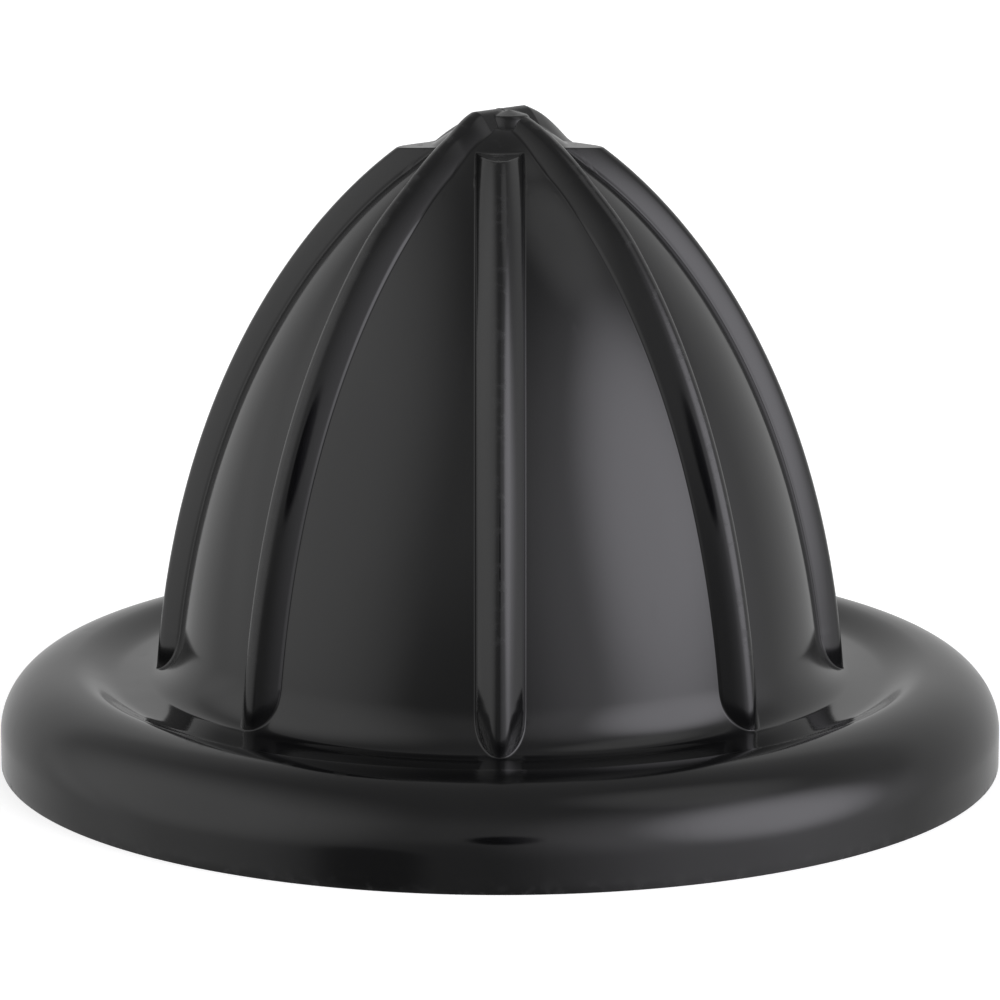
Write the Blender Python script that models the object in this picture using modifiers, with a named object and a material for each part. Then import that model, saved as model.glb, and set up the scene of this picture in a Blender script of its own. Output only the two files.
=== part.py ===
"""Reamer cone of an electric citrus juicer, in metres, +Z up, standing on its rim at z = 0.

The cone is a hollow turned shell with lofted ribs. Under it sit the drive hub, its metal bush and the rubber
ring that grips the spindle. The photo looks along +Y, so the front rib is at -Y. Sizes below are in mm.
"""

import math

import bmesh
import bpy
from mathutils import Matrix, Vector

MM = 0.001

# Rim and skirt
RIM_RADIUS = 47.5
RIM_EDGE_HEIGHT = 3.2
SHOULDER_WIDTH = 6.95
SHOULDER_HEIGHT = 6.1
DISH_DEPTH = 1.35
DISH_PLACE = 0.4
FLARE_RADIUS = 2.8
FLARE_LIFT = 0.15
WALL = 2.2

# Line of the rib crests, from the foot on the skirt to the apex
CONE_HEIGHT = 54.78
FOOT_RADIUS = 32.81
CREST_TAPER = 4.98
CREST_POWER = 2.266
CREST_ROUNDING = 0.628

# Ribs
RIB_HEIGHT = 1.95
RIB_ROOT_WIDTH = 4.5
RIB_CREST_WIDTH = 0.9
RIB_BURY = 0.7
SHORT_RIB_DROP = 4.4
RIDGE_TRIM = 0.86
CROSS_RIDGE_TRIM = 1.13

# Boss under the apex, with its hexagonal socket
BOSS_RADIUS = 5.6
BOSS_LENGTH = 12.6
SOCKET_DEPTH = 7.6
HEX_RADIUS = 3.2

# Fits
GAP = 0.3
SPINDLE_CLEARANCE = 0.15
RING_GRIP = 0.1

# Drive hub
HUB_BOTTOM = 2.0
HUB_WALL = 1.8
HUB_ROOF = 5.7
HUB_STRAIGHT = 12.0
SPINDLE_RADIUS = 4.0
BUSH_WALL = 1.55
BUSH_LENGTH = 18.2
RING_SECTION = 0.9
WEB_THICKNESS = 2.0
WEB_BOTTOM = 14.0
HOOP_HEIGHT = 3.0
HOOP_WIDTH = 2.0
LUG_WIDTH = 1.6
LUG_HEIGHT = 5.0
LUG_REACH = 2.6
SLOT_WIDTH = 3.2
SLOT_HEIGHT = 4.5

# Facets
TURN_STEPS = 40
SMALL_STEPS = 32

# Heights and radii that follow from the driving sizes
rim_top_r = RIM_RADIUS - SHOULDER_WIDTH
rim_top_z = RIM_EDGE_HEIGHT + SHOULDER_HEIGHT
dish_z = rim_top_z - DISH_DEPTH
crest_top = dish_z + CONE_HEIGHT
inner_apex = crest_top - RIB_HEIGHT - WALL
boss_bottom = inner_apex - BOSS_LENGTH
hub_top = boss_bottom - GAP
spindle_top = hub_top - HUB_ROOF
bore_r = SPINDLE_RADIUS + SPINDLE_CLEARANCE
bush_r = bore_r + BUSH_WALL
bush_top = HUB_BOTTOM + BUSH_LENGTH
bush_seat_r = bush_r + GAP
hub_r = bush_seat_r + HUB_WALL
ring_r = SPINDLE_RADIUS - RING_GRIP + RING_SECTION
ring_z = bush_top + GAP + RING_SECTION
ring_roof_z = ring_z + RING_SECTION + GAP
web_top = spindle_top
lug_bottom = WEB_BOTTOM + HOOP_HEIGHT + 2.0 * GAP

for item in list(bpy.data.objects):
    bpy.data.objects.remove(item, do_unlink=True)

parts = bpy.data.collections.new("citrus_reamer")
cutters = bpy.data.collections.new("cutters")
bpy.context.scene.collection.children.link(parts)
bpy.context.scene.collection.children.link(cutters)


def crest_radius(z):
    """Radius of the rib crests at this height: a rounded ogive on a straight taper."""
    t = min((z - dish_z) / CONE_HEIGHT, 1.0)
    ogive = (1.0 - max(t, 0.0) ** CREST_POWER) ** CREST_ROUNDING
    return (FOOT_RADIUS - CREST_TAPER) * ogive + CREST_TAPER * (1.0 - t)


def below_crest(z, depth):
    """The point this far under the crest line, measured square to it, as (radius, height)."""
    step = 0.02
    high = min(z + step, crest_top)
    along = Vector((crest_radius(z - step) - crest_radius(high), z - step - high)).normalized()
    outward = Vector((-along.y, along.x))
    return Vector((crest_radius(z), z)) - outward * depth


def heights(top, bottom, count):
    """Heights from top to bottom, closer together near the top where the dome curves most."""
    return [top - (top - bottom) * (i / (count - 1)) ** 1.7 for i in range(count)]


def arc(centre, size, start, end, steps):
    """Points of a round or elliptical arc in the profile plane, degrees from +X towards +Z."""
    found = []
    for i in range(steps + 1):
        a = math.radians(start + (end - start) * i / steps)
        found.append((centre[0] + size[0] * math.cos(a), centre[1] + size[1] * math.sin(a)))
    return found


def material(name, color, metallic, roughness):
    made = bpy.data.materials.new(name)
    made.use_nodes = True
    shader = made.node_tree.nodes["Principled BSDF"]
    shader.inputs["Base Color"].default_value = (*color, 1.0)
    shader.inputs["Metallic"].default_value = metallic
    shader.inputs["Roughness"].default_value = roughness
    made.diffuse_color = (*color, 1.0)
    return made


def add_object(name, mesh, collection):
    made = bpy.data.objects.new(name, mesh)
    collection.objects.link(made)
    if collection == cutters:
        made.hide_render = True
        made.display_type = "WIRE"
    return made


def baked(source, weld=True):
    """The object with its modifiers applied and its faces turned outwards."""
    graph = bpy.context.evaluated_depsgraph_get()
    graph.update()
    mesh = bpy.data.meshes.new_from_object(source.evaluated_get(graph))
    source.modifiers.clear()
    source.data = mesh
    bm = bmesh.new()
    bm.from_mesh(mesh)
    if weld:
        bmesh.ops.remove_doubles(bm, verts=bm.verts, dist=0.002 * MM)
    bmesh.ops.recalc_face_normals(bm, faces=bm.faces)
    bm.to_mesh(mesh)
    bm.free()
    return source


def turned(name, points, steps, collection):
    """A solid of revolution from (radius, height) points, down the outer side and back up inside."""
    mesh = bpy.data.meshes.new(name)
    verts = [(r * MM, 0.0, z * MM) for r, z in points]
    edges = [(i, i + 1) for i in range(len(verts) - 1)]
    if points[0][0] > 0.0:
        edges.append((len(verts) - 1, 0))
    mesh.from_pydata(verts, edges, [])
    made = add_object(name, mesh, collection)
    screw = made.modifiers.new("turn", "SCREW")
    screw.axis = "Z"
    screw.angle = 2.0 * math.pi
    screw.steps = steps
    screw.render_steps = steps
    screw.use_merge_vertices = True
    screw.merge_threshold = 0.01 * MM
    screw.use_normal_calculate = True
    return baked(made)


def box(name, low, high, collection, spin=0.0):
    """A box between two corners, turned about Z by spin degrees."""
    mesh = bpy.data.meshes.new(name)
    bm = bmesh.new()
    size = [(b - a) * MM for a, b in zip(low, high)]
    middle = [(a + b) / 2.0 * MM for a, b in zip(low, high)]
    place = Matrix.Rotation(math.radians(spin), 4, "Z") @ Matrix.Translation(middle)
    bmesh.ops.create_cube(bm, size=1.0, matrix=place @ Matrix.Diagonal((*size, 1.0)))
    bm.to_mesh(mesh)
    bm.free()
    return add_object(name, mesh, collection)


def hexagon(name, radius, low, high, collection):
    """An upright six-sided prism."""
    mesh = bpy.data.meshes.new(name)
    bm = bmesh.new()
    bmesh.ops.create_cone(
        bm,
        cap_ends=True,
        segments=6,
        radius1=radius * MM,
        radius2=radius * MM,
        depth=(high - low) * MM,
        matrix=Matrix.Translation((0.0, 0.0, (low + high) / 2.0 * MM)),
    )
    bm.to_mesh(mesh)
    bm.free()
    return add_object(name, mesh, collection)


def plate(name, outline, thickness, collection, spin):
    """A flat plate from (radius, height) points, standing on the half plane at this spin about Z."""
    mesh = bpy.data.meshes.new(name)
    bm = bmesh.new()
    turn = Matrix.Rotation(math.radians(spin), 4, "Z")
    bm.faces.new([bm.verts.new(turn @ Vector((r * MM, 0.0, z * MM))) for r, z in outline])
    bm.normal_update()
    bm.to_mesh(mesh)
    bm.free()
    made = add_object(name, mesh, collection)
    thick = made.modifiers.new("thickness", "SOLIDIFY")
    thick.thickness = thickness * MM
    thick.offset = 0.0
    return baked(made)


def boolean(target, other, operation):
    step = target.modifiers.new(operation.lower(), "BOOLEAN")
    step.operation = operation
    step.solver = "EXACT"
    step.object = other


def shell_profile():
    """The cone's shell: outer side from the apex to the rim, then back up inside to the boss."""
    flare_z = dish_z + FLARE_LIFT + FLARE_RADIUS
    flare_r = below_crest(flare_z, RIB_HEIGHT).x + FLARE_RADIUS
    flare = (flare_r, flare_z)
    dish_r = flare_r + DISH_PLACE * (rim_top_r - flare_r)

    points = [(0.0, crest_top - RIB_HEIGHT)]
    points += [tuple(below_crest(z, RIB_HEIGHT)) for z in heights(crest_top - 0.23, flare_z + 5.1, 15)]
    points += arc(flare, (FLARE_RADIUS, FLARE_RADIUS), 180.0, 270.0, 5)
    for part in (0.0, 0.25, 0.5, 0.75):
        rise = DISH_DEPTH * (1.0 - math.cos(math.pi * part)) / 2.0
        points.append((dish_r + part * (rim_top_r - dish_r), dish_z + rise))
    points += arc((rim_top_r, RIM_EDGE_HEIGHT), (SHOULDER_WIDTH, SHOULDER_HEIGHT), 90.0, 0.0, 8)
    points += [(RIM_RADIUS, 0.0), (RIM_RADIUS - WALL, 0.0)]

    shoulder = (SHOULDER_WIDTH - WALL, SHOULDER_HEIGHT - WALL)
    points += arc((rim_top_r, RIM_EDGE_HEIGHT), shoulder, 0.0, 90.0, 4)
    points += [(dish_r, dish_z - WALL)]
    points += arc(flare, (FLARE_RADIUS + WALL, FLARE_RADIUS + WALL), 270.0, 180.0, 5)
    inside = [below_crest(z, RIB_HEIGHT + WALL) for z in reversed(heights(crest_top - 2.3, flare_z + 5.7, 11))]
    inside = [p for p in inside if p.x > BOSS_RADIUS + 0.4]
    points += [tuple(p) for p in inside]
    points += [(BOSS_RADIUS, inside[-1].y + 0.4), (BOSS_RADIUS, boss_bottom), (0.0, boss_bottom)]
    return points


def rib_lines(tip_z, count):
    """Crest and root points from the tip down to the foot. The root is buried in the shell."""
    depth = RIB_HEIGHT + RIB_BURY
    stations = heights(tip_z, dish_z + 2.4, count) + [dish_z - 0.65]
    lines = [(below_crest(z, 0.0), below_crest(z, depth)) for z in stations]
    lines[-1][1].y += 1.3
    return lines


def rib(name, spin, level, lines):
    """A rib lofted along these lines and cut off flat at this height."""
    half_root = RIB_ROOT_WIDTH / 2.0 * (RIB_HEIGHT + RIB_BURY) / RIB_HEIGHT
    half_crest = RIB_CREST_WIDTH / 2.0
    mesh = bpy.data.meshes.new(name)
    bm = bmesh.new()
    turn = Matrix.Rotation(math.radians(spin), 4, "Z")
    rows = []
    for crest, root in lines:
        section = (
            (root.x, -half_root, root.y),
            (crest.x, -half_crest, crest.y),
            (crest.x, half_crest, crest.y),
            (root.x, half_root, root.y),
        )
        rows.append([bm.verts.new(turn @ (Vector(p) * MM)) for p in section])
    for a, b in zip(rows, rows[1:]):
        for i in range(4):
            j = (i + 1) % 4
            bm.faces.new((a[i], a[j], b[j], b[i]))
    bm.faces.new(tuple(reversed(rows[0])))
    bm.faces.new(tuple(rows[-1]))
    bmesh.ops.recalc_face_normals(bm, faces=bm.faces)
    bm.to_mesh(mesh)
    bm.free()
    made = add_object(name, mesh, cutters)
    reach = FOOT_RADIUS / 2.0
    low = (-reach, -RIB_ROOT_WIDTH, level)
    high = (reach, RIB_ROOT_WIDTH, crest_top + RIB_ROOT_WIDTH)
    above = box(name + "_level", low, high, cutters, spin)
    boolean(made, above, "DIFFERENCE")
    return baked(made)


def add_ribs(cone):
    """Two long pairs, each one ridge from foot to foot over the tip, then the four short ribs."""
    one_side = rib_lines(crest_top - 0.33, 18)
    other_side = [(Vector((-c.x, c.y)), Vector((-r.x, r.y))) for c, r in reversed(one_side)]
    across = other_side + one_side
    boolean(cone, rib("ridge", 45.0, crest_top - RIDGE_TRIM, across), "UNION")
    boolean(cone, rib("cross_ridge", 135.0, crest_top - CROSS_RIDGE_TRIM, across), "UNION")
    short = rib_lines(crest_top - 0.8 * RIB_HEIGHT, 16)
    for quarter in range(4):
        made = rib("short_rib_%d" % quarter, 90.0 * quarter, crest_top - SHORT_RIB_DROP, short)
        boolean(cone, made, "UNION")


def add_lugs(cone):
    """Pairs of small lugs inside the shell that the ends of the hub's webs sit between."""
    inner_r = below_crest(lug_bottom + LUG_HEIGHT, RIB_HEIGHT + WALL).x
    for quarter in range(4):
        for side in (-1, 1):
            near = side * (WEB_THICKNESS / 2.0 + GAP)
            far = near + side * LUG_WIDTH
            low = (inner_r - LUG_REACH, min(near, far), lug_bottom)
            high = (inner_r + WALL * 0.68, max(near, far), lug_bottom + LUG_HEIGHT)
            name = "lug_%d_%s" % (quarter, "left" if side < 0 else "right")
            boolean(cone, box(name, low, high, cutters, 90.0 * quarter), "UNION")


def reamer_cone():
    cone = turned("reamer_cone", shell_profile(), TURN_STEPS, parts)
    add_ribs(cone)
    socket = hexagon("hex_socket", HEX_RADIUS + GAP, boss_bottom - 2.0, boss_bottom + SOCKET_DEPTH, cutters)
    boolean(cone, socket, "DIFFERENCE")
    add_lugs(cone)
    return cone


def hub_tube_profile():
    return [
        (0.0, hub_top),
        (BOSS_RADIUS, hub_top),
        (hub_r - 0.8, hub_top - 1.5),
        (hub_r, HUB_BOTTOM + HUB_STRAIGHT),
        (hub_r, HUB_BOTTOM + 0.5),
        (hub_r - 0.5, HUB_BOTTOM),
        (bush_seat_r, HUB_BOTTOM),
        (bush_seat_r, ring_roof_z),
        (bore_r, ring_roof_z),
        (bore_r, spindle_top - 1.0),
        (bore_r - 1.0, spindle_top),
        (0.0, spindle_top),
    ]


def web_outline(hoop_r):
    """A web's outline: along the hoop, up the inside of the shell, and back down inside the tube."""
    foot_r = hub_r - 1.4
    tip_r = hoop_r - 0.6
    hoop_top = WEB_BOTTOM + HOOP_HEIGHT
    follow = [below_crest(z, RIB_HEIGHT + WALL + 1.5 * GAP) for z in reversed(heights(web_top + 6.0, hoop_top, 8))]
    edge = [tuple(p) for p in follow if hoop_top + 0.5 < p.y < web_top and p.x < tip_r]
    top_r = max(p.x for p in follow if p.y >= web_top)
    return [(foot_r, WEB_BOTTOM), (tip_r, WEB_BOTTOM), (tip_r, hoop_top), *edge, (top_r, web_top), (foot_r, web_top)]


def drive_hub(slot):
    hub = turned("drive_hub", hub_tube_profile(), SMALL_STEPS, parts)
    spigot_top = boss_bottom + SOCKET_DEPTH - 3.0 * GAP
    boolean(hub, hexagon("spigot", HEX_RADIUS, hub_top - 2.0, spigot_top, cutters), "UNION")

    hoop_r = below_crest(WEB_BOTTOM + HOOP_HEIGHT + 1.0, RIB_HEIGHT + WALL + GAP).x
    outline = web_outline(hoop_r)
    for quarter in range(4):
        web = plate("web_%d" % quarter, outline, WEB_THICKNESS, cutters, 90.0 * quarter)
        boolean(hub, web, "UNION")
    low = WEB_BOTTOM - 0.4
    hoop_in = hoop_r - HOOP_WIDTH
    hoop_points = [(hoop_r, low + HOOP_HEIGHT), (hoop_r, low), (hoop_in, low), (hoop_in, low + HOOP_HEIGHT)]
    boolean(hub, turned("hoop", hoop_points, TURN_STEPS, cutters), "UNION")
    boolean(hub, slot, "DIFFERENCE")
    return hub


def drive_bush(slot):
    points = [
        (bush_r - 0.4, bush_top),
        (bush_r, bush_top - 0.4),
        (bush_r, HUB_BOTTOM + 0.3),
        (bush_r - 0.3, HUB_BOTTOM),
        (bore_r + 0.4, HUB_BOTTOM),
        (bore_r, HUB_BOTTOM + 0.4),
        (bore_r, bush_top - 0.3),
        (bore_r + 0.3, bush_top),
    ]
    bush = turned("drive_bush", points, SMALL_STEPS, parts)
    boolean(bush, slot, "DIFFERENCE")
    return bush


def grip_ring():
    section = arc((ring_r, ring_z), (RING_SECTION, RING_SECTION), 90.0, -234.0, 9)
    return turned("grip_ring", section, SMALL_STEPS, parts)


slot_reach = hub_r + 2.0
slot_low = (-slot_reach, -SLOT_WIDTH / 2.0, HUB_BOTTOM - 2.0)
slot_high = (slot_reach, SLOT_WIDTH / 2.0, HUB_BOTTOM + SLOT_HEIGHT)
pin_slot = box("pin_slot", slot_low, slot_high, cutters)

looks = (
    (reamer_cone(), material("reamer_cone", (0.012, 0.012, 0.013), 0.0, 0.12)),
    (drive_hub(pin_slot), material("drive_hub", (0.05, 0.05, 0.055), 0.0, 0.5)),
    (drive_bush(pin_slot), material("drive_bush", (0.62, 0.6, 0.57), 1.0, 0.3)),
    (grip_ring(), material("grip_ring", (0.25, 0.03, 0.02), 0.0, 0.6)),
)
for piece, look in looks:
    baked(piece, weld=False)
    piece.data.materials.clear()
    piece.data.materials.append(look)
    for face in piece.data.polygons:
        face.use_smooth = True
    piece.data.set_sharp_from_angle(angle=math.radians(28.0))
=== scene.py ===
"""Looks of the citrus reamer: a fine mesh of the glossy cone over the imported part, and a white studio.

The cone's outside is worked out on a grid whose columns run along the ribs, so their edges stay crisp and
their rounding is even. Ribs are numbered 0 to 7 from +X, anticlockwise seen from above, and rib 6 faces the
camera. The odd ones run up to the apex or end close to it, and the even ones stop lower down. Lengths are in
mm until a mesh is written.
"""

import math

import bmesh
import bpy
import numpy as np
from mathutils import Matrix, Vector


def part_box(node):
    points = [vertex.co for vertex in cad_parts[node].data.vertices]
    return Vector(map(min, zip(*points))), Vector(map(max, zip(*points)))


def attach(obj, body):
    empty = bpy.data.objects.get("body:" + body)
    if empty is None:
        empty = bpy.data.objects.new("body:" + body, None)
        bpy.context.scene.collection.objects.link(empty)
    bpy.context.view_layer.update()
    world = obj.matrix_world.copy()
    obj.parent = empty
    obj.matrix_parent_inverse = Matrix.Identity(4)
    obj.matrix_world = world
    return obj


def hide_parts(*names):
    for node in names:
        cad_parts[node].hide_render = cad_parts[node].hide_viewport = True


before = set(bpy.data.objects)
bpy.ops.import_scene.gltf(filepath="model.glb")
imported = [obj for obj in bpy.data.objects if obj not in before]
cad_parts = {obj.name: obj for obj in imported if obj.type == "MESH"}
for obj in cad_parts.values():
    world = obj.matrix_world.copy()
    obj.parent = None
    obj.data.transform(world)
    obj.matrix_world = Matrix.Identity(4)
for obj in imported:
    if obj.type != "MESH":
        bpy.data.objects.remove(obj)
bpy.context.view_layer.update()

MM = 0.001

# Rim, skirt and flare
cone_low, cone_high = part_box("reamer_cone")
RIM_RADIUS = (cone_high[0] - cone_low[0]) / 2.0 / MM
RIM_EDGE_HEIGHT = 3.2
RIM_EDGE_ROWS = (2.4, 1.6, 0.9)
RIM_OUTER_ROUNDING = 0.05
RIM_INNER_ROUNDING = 0.12
SHOULDER_WIDTH = 6.75
SHOULDER_HEIGHT = 6.1
DISH_DEPTH = 1.35
DISH_PLACE = 0.4
FLARE_RADIUS = 2.8
FLARE_LIFT = 0.15
FLARE_START = 1.4
FLARE_TENSION = 0.62
FLARE_TANGENT_STEP = 0.1
WALL = 2.2

# Line of the rib crests, and the points that it is worked out at
CONE_HEIGHT = 54.78
FOOT_RADIUS = 32.81
CREST_TAPER = 4.98
CREST_POWER = 2.266
CREST_ROUNDING = 0.628
CREST_POINTS = 6000
CREST_CROWDING = 2.5
APEX_STEP = 1e-4
UNDER_DISH = 1.0

# Ribs: RIB_TURN degrees from one to the next, their section, and how far down the ridge at the apex is cut.
# A short rib's top is nearly level, SHORT_RIB_DROP under the crest line's apex at radius SHORT_RIB_REACH
RIBS = 8
RIB_TURN = 360.0 / RIBS
RIB_HEIGHT = 1.95
RIB_ROOT_WIDTH = 4.5
RIB_CREST_WIDTH = 0.9
RIB_FULLNESS = 0.32
ROOT_WALL = 0.08
ROOT_WALL_SLOPE = 3.0
CREST_BLEND = 0.38
ROOT_BLEND = 0.12
SHORT_RIB_DROP = 4.4
SHORT_RIB_SLOPE = 0.07
SHORT_RIB_REACH = 9.8
RIDGE_TRIM = 0.76

# Near the apex the dome rises, and each odd rib sags a little by its own (sag, radius where it starts,
# radius where it is full). At the cap's edge they all sag alike, and beyond it less until SAG_ENDS
DOME_RAISE = 0.6
RAISE_STARTS = 1.0
RAISE_FULL = 3.4
RAISE_ENDS = 9.0
TIP_SAG = {1: (0.6, 4.5, 9.5), 3: (0.9, -1.0, 0.0), 5: (0.4, 3.5, 6.5), 7: (0.4, -1.0, 0.0)}
SAG = 0.4
SAG_CHANGE_WIDTH = 2.0
SAG_ENDS = 15.5

# Ribs 5 and 1 run through the apex as one level ridge, and ribs 3 and 7 start a little way off it. A blunt
# stub stands beside the ridge, shifted towards rib 7
RIB_STARTS = {1: 0.0, 3: 3.0, 5: 0.0, 7: 3.3}
RIB_START_SLOPE = 5.0
BESIDE_RIB_SLOPE = 6.0
STUB_SHIFT = 1.2
STUB_RADIUS = 1.95
STUB_SLOPE = 3.6
STUB_CROWN = 0.26
STUB_ROUNDING = 0.36
STUB_FOOT_BLEND = 0.6
TIP_BLEND = 0.16

# Inside of the shell: the dome's inner side from INSIDE_START above the flare, the boss with its hexagonal
# socket, and a lug on each side of every web of the hub
BOSS_RADIUS = 5.6
BOSS_LENGTH = 12.6
BOSS_CORNER = 0.4
BOSS_BEVEL = 0.3
SOCKET_DEPTH = 7.6
SOCKET_RADIUS = 3.5
INSIDE_START = 0.5
WEBS = 4
WEB_THICKNESS = 2.0
GAP = 0.3
LUG_WIDTH = 1.6
LUG_HEIGHT = 5.0
LUG_REACH = 2.6
LUG_BOTTOM = 17.6
LUG_EDGE = 0.2
LUG_SUNK_SHARE = 0.68

# Wear goes from none to full, or from full to none, between the two values of each measure. On the crests it
# also comes in over the first WORN_CREST_FADE above the flare. The insets are from the rim's radius
WORN_CREST_SIDE = (0.35, 0.95)
WORN_CREST_RISE = (0.2, 1.0)
WORN_CREST_FADE = 4.0
WORN_EDGE_HEIGHT = (0.2, 1.4)
WORN_EDGE_INSET = (0.8, 0.2)

# Grid: how the cone's outside and the profile under it are divided
CAP_RADIUS = 10.0
CAP_ROWS = 120
DOME_ROWS = 84
DOME_SETTLING_STEPS = 12
DOME_SETTLING_SHARE = 0.7
FLARE_ROWS = 44
RIB_EDGE = 2.8
RIB_COLUMN_RUNS = ((0.1, 1), (0.85, 10), (1.9, 12), (2.5, 12), (RIB_EDGE, 2))
PANEL_COLUMNS = 24
DISH_STEPS = 10
DISH_RISE_STEPS = 16
SHOULDER_STEPS = 30
RIM_ROUNDING_STEPS = 4
INNER_SHOULDER_STEPS = 14
INNER_FLARE_STEPS = 16
INSIDE_ROWS = 40
SHARP_ANGLE = math.radians(60.0)

# Table of the lines under the crest line near the apex; the margin keeps a lookup inside the last cell
TABLE_RADII = 400
TABLE_DEPTHS = 60
TABLE_REACH = CAP_RADIUS * 1.5
TABLE_DEEPEST = RIB_HEIGHT * 1.6
TABLE_MARGIN = 1.001

rim_top_r = RIM_RADIUS - SHOULDER_WIDTH
rim_top_z = RIM_EDGE_HEIGHT + SHOULDER_HEIGHT
dish_z = rim_top_z - DISH_DEPTH
crest_top = dish_z + CONE_HEIGHT
ridge_top = crest_top - RIDGE_TRIM
flare_z = dish_z + FLARE_LIFT + FLARE_RADIUS
ROOT_HALF = RIB_ROOT_WIDTH / 2.0
CREST_HALF = RIB_CREST_WIDTH / 2.0


def crest_radius(z):
    """Radius of the rib crests at these heights: a rounded ogive on a straight taper."""
    t = np.minimum((np.asarray(z, float) - dish_z) / CONE_HEIGHT, 1.0)
    ogive = (1.0 - np.maximum(t, 0.0) ** CREST_POWER) ** CREST_ROUNDING
    return (FOOT_RADIUS - CREST_TAPER) * ogive + CREST_TAPER * (1.0 - t)


def crest_stations():
    """Points on the crest line from the apex down, closer together near the apex, with outward normals."""
    top, bottom = crest_top - APEX_STEP, dish_z - UNDER_DISH
    z = top - (top - bottom) * np.linspace(0.0, 1.0, CREST_POINTS) ** CREST_CROWDING
    r = crest_radius(z)
    along = np.stack([np.gradient(r), np.gradient(z)], 1)
    along /= np.linalg.norm(along, axis=1)[:, None]
    return np.stack([r, z], 1), np.stack([-along[:, 1], along[:, 0]], 1)


LINE, NORMAL = crest_stations()


def under_crest(depth):
    """The line that lies this far under the crest line, from the apex down."""
    return LINE - NORMAL * depth


DOME = under_crest(RIB_HEIGHT)
DOME = DOME[DOME[:, 0] > 0.0]
DOME = DOME[np.argsort(DOME[:, 1])]
DOME_BY_RADIUS = DOME[np.argsort(DOME[:, 0])]


def dome_radius(z):
    return np.interp(z, DOME[:, 1], DOME[:, 0])


def dome_height(r):
    return np.interp(r, DOME_BY_RADIUS[:, 0], DOME_BY_RADIUS[:, 1])


foot_r = float(dome_radius(flare_z)) + FLARE_RADIUS
foot_z = flare_z - FLARE_RADIUS
dish_r = foot_r + DISH_PLACE * (rim_top_r - foot_r)


def smooth_max(a, b, blend):
    """The larger value, rounded off where the two are closer than blend."""
    near = np.maximum(blend - np.abs(a - b), 0.0)
    return np.maximum(a, b) + near * near / (4.0 * blend)


def smooth_min(a, b, blend):
    return -smooth_max(-a, -b, blend)


def smooth_step(value, low, high):
    part = np.clip((value - low) / (high - low), 0.0, 1.0)
    return part * part * (3.0 - 2.0 * part)


def rib_rise(y):
    """Height of a rib over the dome this far from its middle plane.

    The crest is rounded, the flanks get steeper towards the root, and a low steep wall ends them there.
    """
    side = np.abs(y)
    down = (side - CREST_HALF) / (ROOT_HALF - CREST_HALF)
    flank = RIB_HEIGHT - (RIB_HEIGHT - ROOT_WALL) * (down + RIB_FULLNESS * down * (down - 1.0))
    flank = smooth_min(flank, ROOT_WALL_SLOPE * (ROOT_HALF - side), ROOT_WALL)
    return smooth_min(flank, np.full_like(flank, RIB_HEIGHT), CREST_BLEND)


def crest_sag(number, r):
    """How far this rib lies under the common crest line at radius r."""
    if number not in TIP_SAG:
        return np.zeros_like(r)
    depth, start, full = TIP_SAG[number]
    near = depth * smooth_step(r, start, full)
    change = smooth_step(r, CAP_RADIUS - SAG_CHANGE_WIDTH, CAP_RADIUS)
    return (near + (SAG - near) * change) * (1.0 - smooth_step(r, CAP_RADIUS, SAG_ENDS))


def spread(*runs):
    """Values through the given (end, count) runs, starting from zero."""
    found = [0.0]
    for end, count in runs:
        start = found[-1]
        found += [start + (end - start) * (i + 1) / count for i in range(count)]
    return np.array(found)


half_rib = spread(*RIB_COLUMN_RUNS)
ACROSS = np.concatenate([-half_rib[:0:-1], half_rib])[None, :]


def dome_rows(number):
    """One rib's radii and heights on the dome, from the cap's edge to the flare, and then the panel's."""
    base_r, base_z = under_crest(RIB_HEIGHT).T
    first = int(np.argmax(base_r > CAP_RADIUS))
    last = int(np.argmax((base_z < flare_z + FLARE_START) & (base_r > CAP_RADIUS)))
    length = np.concatenate([[0.0], np.cumsum(np.hypot(np.diff(base_r), np.diff(base_z)))])
    wanted = np.linspace(length[first], length[last], DOME_ROWS)
    pick = [np.interp(wanted, length, v) for v in (base_r, base_z, NORMAL[:, 0], NORMAL[:, 1])]
    r, z, nr, nz = (v[:, None] for v in pick)
    size = np.hypot(nr, nz)
    nr, nz = nr / size, nz / size

    sunk = np.zeros_like(r + ACROSS)
    for _ in range(DOME_SETTLING_STEPS):
        found = (np.sqrt(dome_radius(z + nz * sunk) ** 2 - ACROSS * ACROSS) - r) / nr
        sunk = sunk * (1.0 - DOME_SETTLING_SHARE) + found * DOME_SETTLING_SHARE
    rise = smooth_max(rib_rise(ACROSS) - crest_sag(number, r), sunk, ROOT_BLEND)
    return r + nr * rise, z + nz * rise, r, z


def flare_curve():
    """Outside from the dome round to the flare's foot: one curve, tangent to the dome and to the dish."""
    top_z = flare_z + FLARE_START
    next_z = top_z - FLARE_TANGENT_STEP
    start = np.array([float(dome_radius(top_z)), top_z])
    fall = np.array([float(dome_radius(next_z)), next_z]) - start
    foot = np.array([foot_r, foot_z])
    inward = np.array([-1.0, 2.0 * FLARE_LIFT / (dish_r - foot_r)])
    reach = np.linalg.solve(np.stack([fall, -inward], 1), foot - start) * FLARE_TENSION
    first, second = start + reach[0] * fall, foot + reach[1] * inward
    t = np.linspace(0.0, 1.0, FLARE_ROWS + 1)[:, None]
    return (1 - t) ** 3 * start + 3 * (1 - t) ** 2 * t * first + 3 * (1 - t) * t * t * second + t ** 3 * foot


def flare_rows():
    """Any rib's radii and heights on level rows through the flare that swallows it, and the panel's."""
    curve = flare_curve()[1:]
    r, z = curve[:, :1], curve[:, 1:]
    swell = np.sqrt(r * r - ACROSS * ACROSS)
    rib = crest_radius(z) - (RIB_HEIGHT - rib_rise(ACROSS))
    out = smooth_max(rib, swell, ROOT_BLEND)
    return out, np.broadcast_to(z, out.shape), r, z


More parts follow.
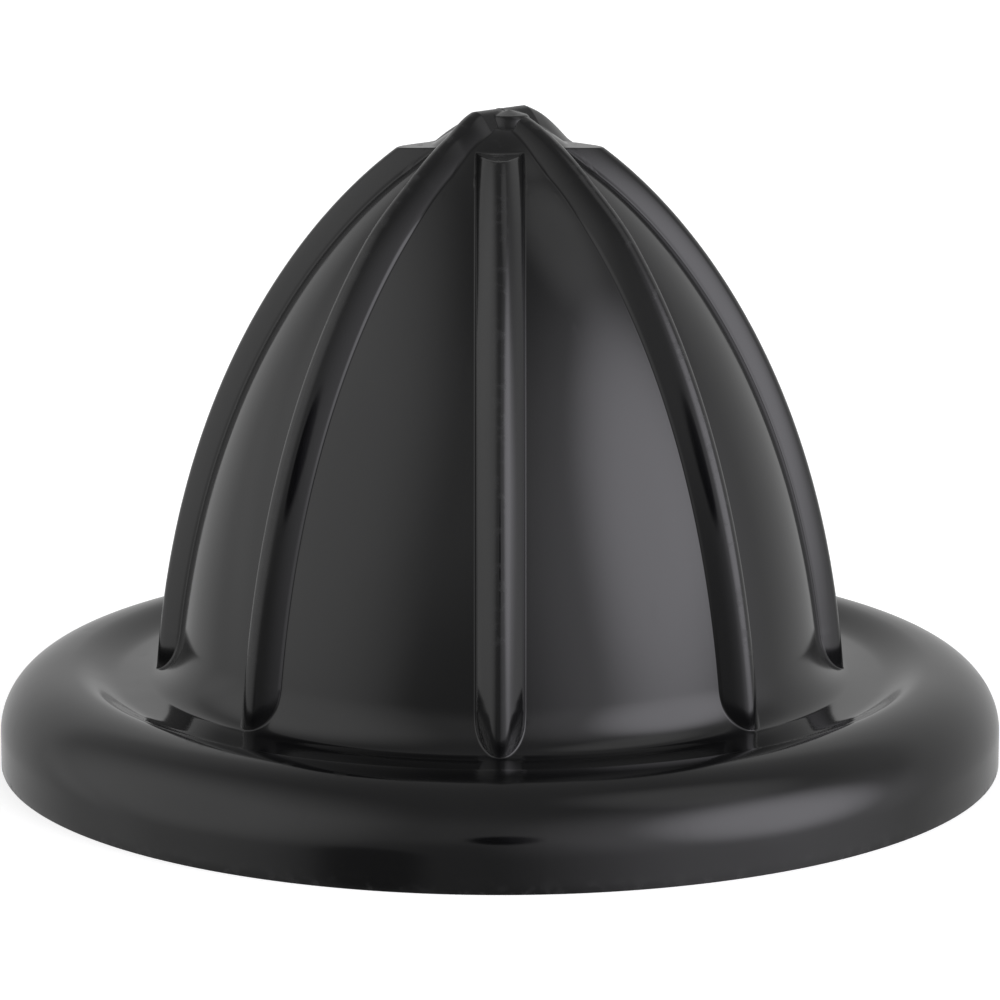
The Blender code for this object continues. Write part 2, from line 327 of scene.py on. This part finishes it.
def around(rib_rows):
    """Whole rows round the cone: each rib's columns, then the plain panel up to the next rib."""
    part = np.linspace(0.0, 1.0, PANEL_COLUMNS + 2)[1:-1]
    rows = []
    for number, (out, z, panel_r, panel_z) in enumerate(rib_rows):
        reach = np.hypot(out, ACROSS)
        angle = math.radians(RIB_TURN * number) + np.arctan2(ACROSS, out)
        rows.append(np.stack([reach * np.cos(angle), reach * np.sin(angle), z], 2))
        gap = math.radians(RIB_TURN) - (angle[:, -1:] - angle[:, :1])
        turn = angle[:, -1:] + gap * part
        height = np.broadcast_to(panel_z, turn.shape)
        rows.append(np.stack([panel_r * np.cos(turn), panel_r * np.sin(turn), height], 2))
    return np.concatenate(rows, 1)


def offset_table():
    """Heights of the lines under the crest line, by radius and by depth under it."""
    radii = np.linspace(0.0, TABLE_REACH, TABLE_RADII)
    depths = np.linspace(0.0, TABLE_DEEPEST, TABLE_DEPTHS)
    table = []
    for depth in depths:
        points = under_crest(depth)
        points = points[np.argsort(points[:, 0])]
        table.append(np.interp(radii, points[:, 0], points[:, 1]))
    return radii, depths, np.array(table)


RADII, DEPTHS, OFFSETS = offset_table()


def offset_height(r, depth):
    """Height at this radius of the line that lies this far under the crest line."""
    fr = np.clip(r / RADII[1], 0.0, len(RADII) - TABLE_MARGIN)
    fd = np.clip(depth / DEPTHS[1], 0.0, len(DEPTHS) - TABLE_MARGIN)
    i, j = fr.astype(int), fd.astype(int)
    u, v = fr - i, fd - j
    low = OFFSETS[j, i] * (1.0 - u) + OFFSETS[j, i + 1] * u
    high = OFFSETS[j + 1, i] * (1.0 - u) + OFFSETS[j + 1, i + 1] * u
    return low * (1.0 - v) + high * v


def stub_height(x, y):
    """The blunt stub beside the ridge: slightly crowned, and steep outside its rounded edge."""
    shift = STUB_SHIFT * math.sqrt(0.5)
    away = np.hypot(x - shift, y + shift)
    beyond = smooth_max(away - STUB_RADIUS, np.zeros_like(away), STUB_ROUNDING)
    return ridge_top - STUB_CROWN * away - (STUB_SLOPE - STUB_CROWN) * beyond


def rib_end_height(number, x, y):
    """Height of one rib near the apex, with its start there and its top cut at the ridge's or its own."""
    spin = math.radians(RIB_TURN * number)
    along = x * math.cos(spin) + y * math.sin(spin)
    side = -x * math.sin(spin) + y * math.cos(spin)
    ahead = np.maximum(along, 0.0)
    sag = crest_sag(number, along)
    depth = RIB_HEIGHT - rib_rise(side) + sag
    rib = offset_height(ahead, np.maximum(depth, 0.0))
    rib = rib - RIB_START_SLOPE * np.maximum(RIB_STARTS.get(number, 0.0) - along, 0.0)
    rib = rib - BESIDE_RIB_SLOPE * np.maximum(np.abs(side) - RIB_EDGE, 0.0)
    if number in RIB_STARTS:
        crest = offset_height(ahead, np.maximum(sag, 0.0))
        return rib - np.maximum(crest - ridge_top, 0.0)
    top = crest_top - SHORT_RIB_DROP + SHORT_RIB_SLOPE * (SHORT_RIB_REACH - along)
    return smooth_min(rib, top, TIP_BLEND / 2.0)


def cap_height(x, y):
    """Height of the outside near the apex: the dome, the blunt stub and the ribs."""
    radius = np.hypot(x, y)
    raised = smooth_step(radius, RAISE_STARTS, RAISE_FULL)
    raised = raised * (1.0 - smooth_step(radius, RAISE_FULL, RAISE_ENDS))
    dome = dome_height(radius) + DOME_RAISE * raised
    height = smooth_max(dome, stub_height(x, y), STUB_FOOT_BLEND)
    for number in range(RIBS):
        height = smooth_max(height, rib_end_height(number, x, y), TIP_BLEND)
    return height


def cap_rows(edge):
    """Rows from the apex out to the first dome row, which stays as it is."""
    rows = []
    for part in np.linspace(0.0, 1.0, CAP_ROWS + 1)[1:-1]:
        x, y = edge[:, 0] * part, edge[:, 1] * part
        rows.append(np.stack([x, y, cap_height(x, y)], 1))
    return np.array(rows)


def arc(centre, size, start, end, steps):
    """Points of a round or elliptical arc in the profile plane, degrees from +X towards +Z."""
    turn = np.radians(np.linspace(start, end, steps + 1))
    return [(centre[0] + size[0] * math.cos(a), centre[1] + size[1] * math.sin(a)) for a in turn]


def dish_and_rim():
    """Profile from the flare's foot through the dish, over the shoulder and round the rim's bottom edge."""
    points = []
    for part in np.linspace(0.0, 1.0, DISH_STEPS + 1)[1:]:
        points.append((foot_r + part * (dish_r - foot_r), dish_z + FLARE_LIFT * (1.0 - part) ** 2))
    for part in np.linspace(0.0, 1.0, DISH_RISE_STEPS + 1)[1:]:
        rise = DISH_DEPTH * (1.0 - math.cos(math.pi * part)) / 2.0
        points.append((dish_r + part * (rim_top_r - dish_r), dish_z + rise))
    shoulder = (SHOULDER_WIDTH, SHOULDER_HEIGHT)
    points += arc((rim_top_r, RIM_EDGE_HEIGHT), shoulder, 90.0, 0.0, SHOULDER_STEPS)[1:]
    points += [(RIM_RADIUS, z) for z in RIM_EDGE_ROWS]
    outer, inner = RIM_OUTER_ROUNDING, RIM_INNER_ROUNDING
    points += arc((RIM_RADIUS - outer, outer), (outer, outer), 0.0, -90.0, RIM_ROUNDING_STEPS)
    points += arc((RIM_RADIUS - WALL + inner, inner), (inner, inner), 270.0, 180.0, RIM_ROUNDING_STEPS)
    return points


def underside():
    """Profile from the rim's inner side under the shoulder and the dish, up the dome and into the socket."""
    points = [(RIM_RADIUS - WALL, RIM_EDGE_HEIGHT)]
    shoulder = (SHOULDER_WIDTH - WALL, SHOULDER_HEIGHT - WALL)
    points += arc((rim_top_r, RIM_EDGE_HEIGHT), shoulder, 0.0, 90.0, INNER_SHOULDER_STEPS)[1:]
    points += [(dish_r, dish_z - WALL)]
    flare = (FLARE_RADIUS + WALL, FLARE_RADIUS + WALL)
    points += arc((foot_r, flare_z), flare, 270.0, 180.0, INNER_FLARE_STEPS)
    inner = under_crest(RIB_HEIGHT + WALL)
    inner = inner[(inner[:, 1] > flare_z + INSIDE_START) & (inner[:, 0] > BOSS_RADIUS + BOSS_CORNER)]
    inner = inner[np.argsort(inner[:, 1])]
    heights = np.linspace(inner[0, 1], inner[-1, 1], INSIDE_ROWS)
    points += [(float(np.interp(z, inner[:, 1], inner[:, 0])), z) for z in heights]
    boss_bottom = crest_top - RIB_HEIGHT - WALL - BOSS_LENGTH
    points += [(BOSS_RADIUS, heights[-1] + BOSS_CORNER), (BOSS_RADIUS, boss_bottom + BOSS_BEVEL)]
    points += [(BOSS_RADIUS - BOSS_BEVEL, boss_bottom)]
    points += [(SOCKET_RADIUS, boss_bottom), (SOCKET_RADIUS, boss_bottom + SOCKET_DEPTH)]
    return points


def hexagon_share(turn):
    """Distance to a hexagon's side in this direction, as a share of the distance to its corners."""
    sector = math.pi / 3.0
    off_middle = np.mod(turn + sector / 2.0, sector) - sector / 2.0
    return math.cos(sector / 2.0) / np.cos(off_middle)


def skirt_rows(turn):
    """Rows of the skirt and the underside in these directions; the last two are the hexagonal socket's."""
    rows = []
    for r, z in dish_and_rim() + underside():
        rows.append(np.stack([r * np.cos(turn), r * np.sin(turn), np.full_like(turn, z)], 1))
    for row in rows[-2:]:
        row[:, :2] *= hexagon_share(turn)[:, None]
    return np.array(rows)


def lug_mesh():
    """Points and faces of the small lugs inside the shell that key the hub's webs, two to each web."""
    inner = under_crest(RIB_HEIGHT + WALL)
    top = LUG_BOTTOM + LUG_HEIGHT
    wall_r = float(np.interp(-top, -inner[:, 1], inner[:, 0]))
    length = LUG_REACH + WALL * LUG_SUNK_SHARE
    middle_r = wall_r - LUG_REACH + length / 2.0
    size = Matrix.Diagonal((length, LUG_WIDTH, LUG_HEIGHT, 1.0))
    bm = bmesh.new()
    for web in range(WEBS):
        turn = Matrix.Rotation(math.radians(360.0 / WEBS * web), 4, "Z")
        for side in (-1.0, 1.0):
            off_web = side * (WEB_THICKNESS / 2.0 + GAP + LUG_WIDTH / 2.0)
            place = Matrix.Translation((middle_r, off_web, LUG_BOTTOM + LUG_HEIGHT / 2.0))
            bmesh.ops.create_cube(bm, size=1.0, matrix=turn @ place @ size)
    bmesh.ops.bevel(bm, geom=bm.edges[:], offset=LUG_EDGE, segments=2, affect="EDGES", profile=0.5)
    bm.verts.index_update()
    points = [tuple(v.co) for v in bm.verts]
    faces = [tuple(v.index for v in face.verts) for face in bm.faces]
    bm.free()
    return points, faces


def wear_share(points):
    """How much handling each point sees: the ribs' crests, and the edge that the reamer is set down on."""
    x, y, z = points.T
    reach = np.hypot(x, y)
    spacing = math.radians(RIB_TURN)
    off_rib = np.mod(np.arctan2(y, x) + spacing / 2.0, spacing) - spacing / 2.0
    crest = 1.0 - smooth_step(np.abs(reach * np.sin(off_rib)), *WORN_CREST_SIDE)
    crest *= smooth_step(reach - dome_radius(z), *WORN_CREST_RISE)
    crest *= smooth_step(z, flare_z, flare_z + WORN_CREST_FADE)
    edge = 1.0 - smooth_step(z, *WORN_EDGE_HEIGHT)
    edge *= smooth_step(reach, RIM_RADIUS - WORN_EDGE_INSET[0], RIM_RADIUS - WORN_EDGE_INSET[1])
    return np.maximum(crest, edge)


def cone_mesh():
    """The whole shell: rows from the apex over the outside and back under it, both ends closed, and lugs."""
    dome = around([dome_rows(number) for number in range(RIBS)])
    flare = around([flare_rows()] * RIBS)
    turn = np.arctan2(flare[-1][:, 1], flare[-1][:, 0])
    rows = np.concatenate([cap_rows(dome[0]), dome, flare, skirt_rows(turn)])
    count, width = rows.shape[:2]
    apex = np.array([[0.0, 0.0, float(cap_height(np.zeros(1), np.zeros(1))[0])]])
    socket_top = np.array([[0.0, 0.0, rows[-1][0][2]]])
    lug_points, lug_faces = lug_mesh()
    points = np.concatenate([rows.reshape(-1, 3), apex, socket_top, np.array(lug_points)])
    top, bottom, first_lug = count * width, count * width + 1, count * width + 2
    faces = [tuple(first_lug + corner for corner in face) for face in lug_faces]
    for i in range(count - 1):
        for j in range(width):
            k = (j + 1) % width
            faces.append((i * width + j, (i + 1) * width + j, (i + 1) * width + k, i * width + k))
    for j in range(width):
        k = (j + 1) % width
        faces.append((top, j, k))
        faces.append((bottom, (count - 1) * width + k, (count - 1) * width + j))
    mesh = bpy.data.meshes.new("reamer_shell")
    mesh.from_pydata((points * MM).tolist(), [], faces)
    mesh.validate()
    wear = mesh.attributes.new("wear", "FLOAT", "POINT")
    wear.data.foreach_set("value", wear_share(points).astype(np.float32))
    for face in mesh.polygons:
        face.use_smooth = True
    mesh.set_sharp_from_angle(angle=SHARP_ANGLE)
    return mesh


def fill(tree, socket, value):
    """Gives a socket its value, or a wire where the value is another socket."""
    if isinstance(value, bpy.types.NodeSocket):
        tree.links.new(value, socket)
    else:
        socket.default_value = value


def put(tree, kind, **sockets):
    """A new shader node with the named sockets filled; an underscore stands for a space."""
    node = tree.nodes.new(kind)
    for name, value in sockets.items():
        fill(tree, node.inputs[name.replace("_", " ")], value)
    return node


def speckle(tree, scale, detail=2.0, stretch=(1.0, 1.0, 1.0)):
    """Noise over the piece's own coordinates in metres; stretch makes it streaky."""
    place = put(tree, "ShaderNodeTexCoord").outputs["Object"]
    drawn_out = put(tree, "ShaderNodeMapping", Vector=place, Scale=stretch).outputs["Vector"]
    return put(tree, "ShaderNodeTexNoise", Vector=drawn_out, Scale=scale, Detail=detail).outputs["Fac"]


def between(tree, value, low=0.0, high=1.0, start=0.3, end=0.7):
    """Takes a value from its range start..end into low..high, softly."""
    ends = {"From_Min": start, "From_Max": end, "To_Min": low, "To_Max": high}
    node = put(tree, "ShaderNodeMapRange", Value=value, **ends)
    node.interpolation_type = "SMOOTHSTEP"
    return node.outputs["Result"]


def product(tree, first, second):
    node = put(tree, "ShaderNodeMath")
    node.operation = "MULTIPLY"
    fill(tree, node.inputs[0], first)
    fill(tree, node.inputs[1], second)
    return node.outputs["Value"]


def blend_colors(tree, share, first, second):
    """First colour where the share is 0, second where it is 1."""
    node = put(tree, "ShaderNodeMix")
    node.data_type = "RGBA"
    fill(tree, node.inputs[0], share)
    for socket, color in ((node.inputs[6], first), (node.inputs[7], second)):
        fill(tree, socket, (*color, 1.0) if isinstance(color, tuple) else color)
    return node.outputs[2]


def relief(tree, height, depth, under=None):
    """Bump of this depth in metres, over another bump if one is given."""
    node = put(tree, "ShaderNodeBump", Height=height, Distance=depth)
    if under is not None:
        fill(tree, node.inputs["Normal"], under)
    return node.outputs["Normal"]


def new_material(name, ior=1.5, metallic=0.0):
    made = bpy.data.materials.new(name)
    made.use_nodes = True
    shader = made.node_tree.nodes["Principled BSDF"]
    shader.inputs["IOR"].default_value = ior
    shader.inputs["Metallic"].default_value = metallic
    return made, made.node_tree, shader


def dress(tree, shader, color, roughness, normal):
    for name, value in (("Base Color", color), ("Roughness", roughness), ("Normal", normal)):
        fill(tree, shader.inputs[name], value)


def gloss_black():
    """Polished black moulding: slow waves and fine peel from the mould, smears, and scuffs from handling."""
    made, tree, shader = new_material("gloss_black_plastic")
    deep, pale, rubbed = (0.0028, 0.0028, 0.003), (0.0045, 0.0045, 0.005), (0.009, 0.009, 0.0095)
    waves = speckle(tree, scale=95.0, detail=1.0)
    smears = speckle(tree, scale=60.0, detail=3.0)
    flow = speckle(tree, scale=55.0, detail=4.0, stretch=(1.0, 1.0, 0.3))
    peel = speckle(tree, scale=1400.0)
    nicks = between(tree, speckle(tree, scale=900.0, detail=3.0), start=0.5, end=0.66)
    scuffs = between(tree, speckle(tree, scale=400.0, stretch=(1.0, 1.0, 0.08)), start=0.62, end=0.72)
    handled = put(tree, "ShaderNodeAttribute")
    handled.attribute_name = "wear"
    worn = product(tree, handled.outputs["Fac"], nicks)
    color = blend_colors(tree, worn, blend_colors(tree, between(tree, flow), deep, pale), rubbed)
    smooth = between(tree, smears, low=0.06, high=0.13)
    scuffed = between(tree, scuffs, low=smooth, high=0.17, start=0.0, end=1.0)
    roughness = between(tree, worn, low=scuffed, high=0.3, start=0.0, end=1.0)
    moulded = relief(tree, peel, depth=0.0000012, under=relief(tree, waves, depth=0.00005))
    dress(tree, shader, color, roughness, relief(tree, worn, depth=0.000004, under=moulded))
    return made


def matt_grey():
    """Inner hub: spark-eroded mould grain, paler flow streaks, and a rubbed mouth at the spindle's entry."""
    made, tree, shader = new_material("matt_grey_plastic")
    deep, pale, bared = (0.042, 0.042, 0.046), (0.056, 0.056, 0.06), (0.1, 0.1, 0.102)
    mouth_share = 0.1
    place = put(tree, "ShaderNodeTexCoord").outputs["Object"]
    height = put(tree, "ShaderNodeSeparateXYZ", Vector=place).outputs["Z"]
    low, high = (v[2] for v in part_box("drive_hub"))
    mouth = between(tree, height, low=1.0, high=0.0, start=low, end=low + mouth_share * (high - low))
    rubbed = product(tree, mouth, between(tree, speckle(tree, scale=700.0, detail=3.0), start=0.42, end=0.6))
    grain = speckle(tree, scale=3200.0, detail=3.0)
    streaks = speckle(tree, scale=90.0, detail=4.0, stretch=(1.0, 1.0, 0.35))
    color = blend_colors(tree, rubbed, blend_colors(tree, between(tree, streaks), deep, pale), bared)
    grained = between(tree, grain, low=0.42, high=0.6)
    roughness = between(tree, rubbed, low=grained, high=0.3, start=0.0, end=1.0)
    normal = relief(tree, grain, depth=0.000012, under=relief(tree, streaks, depth=0.00004))
    dress(tree, shader, color, roughness, normal)
    return made


def turned_steel():
    """Metal sleeve: fine rings from turning, and dulled patches."""
    made, tree, shader = new_material("turned_steel", ior=2.5, metallic=1.0)
    bright, tarnished = (0.56, 0.55, 0.53), (0.4, 0.39, 0.37)
    rings = speckle(tree, scale=900.0, stretch=(0.05, 0.05, 6.0))
    dull = speckle(tree, scale=260.0, detail=4.0)
    color = blend_colors(tree, between(tree, dull), bright, tarnished)
    roughness = between(tree, dull, low=0.2, high=0.42)
    normal = relief(tree, rings, depth=0.000006, under=relief(tree, dull, depth=0.000004))
    dress(tree, shader, color, roughness, normal)
    return made


def soft_rubber():
    """Grip ring: dull red silicone rubber with a dusty bloom and a faint pebble."""
    made, tree, shader = new_material("grip_rubber", ior=1.45)
    clean, dusty = (0.22, 0.026, 0.018), (0.28, 0.045, 0.034)
    bloom = speckle(tree, scale=420.0, detail=5.0)
    pebble = speckle(tree, scale=2600.0)
    color = blend_colors(tree, between(tree, bloom), clean, dusty)
    roughness = between(tree, bloom, low=0.62, high=0.85)
    normal = relief(tree, pebble, depth=0.00001, under=relief(tree, bloom, depth=0.00001))
    dress(tree, shader, color, roughness, normal)
    return made


shell = bpy.data.objects.new("reamer_shell", cone_mesh())
bpy.context.scene.collection.objects.link(shell)
shell.data.materials.append(gloss_black())
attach(shell, "root")
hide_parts("reamer_cone")

FINISHES = {"drive_hub": matt_grey, "drive_bush": turned_steel, "grip_ring": soft_rubber}
for node_name, finish in FINISHES.items():
    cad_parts[node_name].material_slots[0].material = finish()

BLACK = (0.0, 0.0, 0.0)
WHITE = (1.0, 1.0, 1.0)
FLOOR_HALF_WIDTH = 3.0
FLOOR_COLOR = (0.8, 0.8, 0.8)
FLOOR_GLOW = 0.62


def floor_material():
    """Pale floor: mostly its own light, so that the shadow under the rim stays faint. Clear from below."""
    made, tree, shader = new_material("floor_white")
    shader.inputs["Base Color"].default_value = (*FLOOR_COLOR, 1.0)
    shader.inputs["Roughness"].default_value = 1.0
    shader.inputs["Specular IOR Level"].default_value = 0.0
    shader.inputs["Emission Color"].default_value = (*WHITE, 1.0)
    shader.inputs["Emission Strength"].default_value = FLOOR_GLOW
    mix = put(tree, "ShaderNodeMixShader", Fac=put(tree, "ShaderNodeNewGeometry").outputs["Backfacing"])
    fill(tree, mix.inputs[1], shader.outputs["BSDF"])
    fill(tree, mix.inputs[2], put(tree, "ShaderNodeBsdfTransparent").outputs["BSDF"])
    fill(tree, tree.nodes["Material Output"].inputs["Surface"], mix.outputs["Shader"])
    return made


floor_mesh = bpy.data.meshes.new("floor")
bm = bmesh.new()
bmesh.ops.create_grid(bm, x_segments=1, y_segments=1, size=FLOOR_HALF_WIDTH)
bm.to_mesh(floor_mesh)
bm.free()
floor = bpy.data.objects.new("floor", floor_mesh)
bpy.context.scene.collection.objects.link(floor)
floor.data.materials.append(floor_material())
floor.visible_glossy = False

# The studio: a dim grey room with soft lights, and dark cards where the strength is negative. Each has a
# name, azimuth, elevation, strength, the angle inside which it is full, the angle outside which it is gone,
# and a colour. Azimuth 0 is the camera's side and right is positive. A band is given by how steeply up a
# direction points, as its Z
ROOM = (0.454, 0.454, 0.454)
CEILING_SHARE = 0.666
CEILING_BAND = (0.6, 0.97)
GROUND_SHARE = 0.85
GROUND_BAND = (-0.57, 0.09)
VIOLET_WHITE = (0.98, 0.96, 1.03)
LIGHTS = (
    ("right_softbox", 64.7, 17.9, 2.06, 2.0, 35.6, VIOLET_WHITE),
    ("right_spill", 54.5, 6.8, 0.73, 5.5, 61.0, VIOLET_WHITE),
    ("left_softbox", -77.0, 23.0, 0.64, 5.0, 53.0, WHITE),
    ("back_wall", 170.0, -45.0, 0.14, 80.0, 91.0, WHITE),
    ("top_right", 84.0, 64.0, 0.51, 0.5, 21.0, WHITE),
    ("front_dark", -4.0, -24.0, -0.2, 24.0, 46.0, WHITE),
    ("front_card", -29.0, -15.0, -0.14, 6.0, 15.0, WHITE),
    ("camera", 1.0, 18.0, -0.5, 5.5, 9.0, WHITE),
)


def vector_math(tree, operation, first, second=None, scale=None):
    node = put(tree, "ShaderNodeVectorMath")
    node.operation = operation
    for socket, value in ((node.inputs[0], first), (node.inputs[1], second), (node.inputs[3], scale)):
        if value is not None:
            fill(tree, socket, value)
    return node


def studio():
    """World whose brightness depends on direction only; straight to the camera it is plain white."""
    world = bpy.data.worlds.new("studio")
    world.use_nodes = True
    tree = world.node_tree
    direction = put(tree, "ShaderNodeTexCoord").outputs["Generated"]
    upward = put(tree, "ShaderNodeSeparateXYZ", Vector=direction).outputs["Z"]

    ceiling = between(tree, upward, 1.0, CEILING_SHARE, *CEILING_BAND)
    total = vector_math(tree, "SCALE", ROOM, scale=ceiling).outputs["Vector"]
    for name, azimuth, elevation, strength, inner, outer, color in LIGHTS:
        a, e = math.radians(azimuth), math.radians(elevation)
        middle = (math.sin(a) * math.cos(e), -math.cos(a) * math.cos(e), math.sin(e))
        near = vector_math(tree, "DOT_PRODUCT", direction, middle)
        near.label = name
        edge, full = math.cos(math.radians(outer)), math.cos(math.radians(inner))
        amount = between(tree, near.outputs["Value"], 0.0, strength, edge, full)
        glow = vector_math(tree, "SCALE", color, scale=amount).outputs["Vector"]
        total = vector_math(tree, "ADD", total, glow).outputs["Vector"]
        total = vector_math(tree, "MAXIMUM", total, BLACK).outputs["Vector"]
    ground = between(tree, upward, GROUND_SHARE, 1.0, *GROUND_BAND)
    total = vector_math(tree, "SCALE", total, scale=ground).outputs["Vector"]

    shown = put(tree, "ShaderNodeMix")
    shown.data_type = "VECTOR"
    fill(tree, shown.inputs["Factor"], put(tree, "ShaderNodeLightPath").outputs["Is Camera Ray"])
    fill(tree, shown.inputs[4], total)
    fill(tree, shown.inputs[5], WHITE)
    fill(tree, tree.nodes["Background"].inputs["Color"], shown.outputs[1])
    bpy.context.scene.world = world


studio()

TARGET = Vector((0.0, 0.0, 0.02464))
DISTANCE = 0.475
ELEVATION = math.radians(12.3)
FOCAL_PIXELS = 5016.0
FRAME_PIXELS = 1000.0
SENSOR_WIDTH = 36.0
camera_data = bpy.data.cameras.new("camera")
camera_data.sensor_width = SENSOR_WIDTH
camera_data.lens = SENSOR_WIDTH * FOCAL_PIXELS / FRAME_PIXELS
camera = bpy.data.objects.new("camera", camera_data)
bpy.context.scene.collection.objects.link(camera)
camera.location = TARGET + DISTANCE * Vector((0.0, -math.cos(ELEVATION), math.sin(ELEVATION)))
camera.rotation_euler = (TARGET - camera.location).to_track_quat("-Z", "Y").to_euler()
bpy.context.scene.camera = camera
bpy.context.scene.view_settings.view_transform = "Standard"
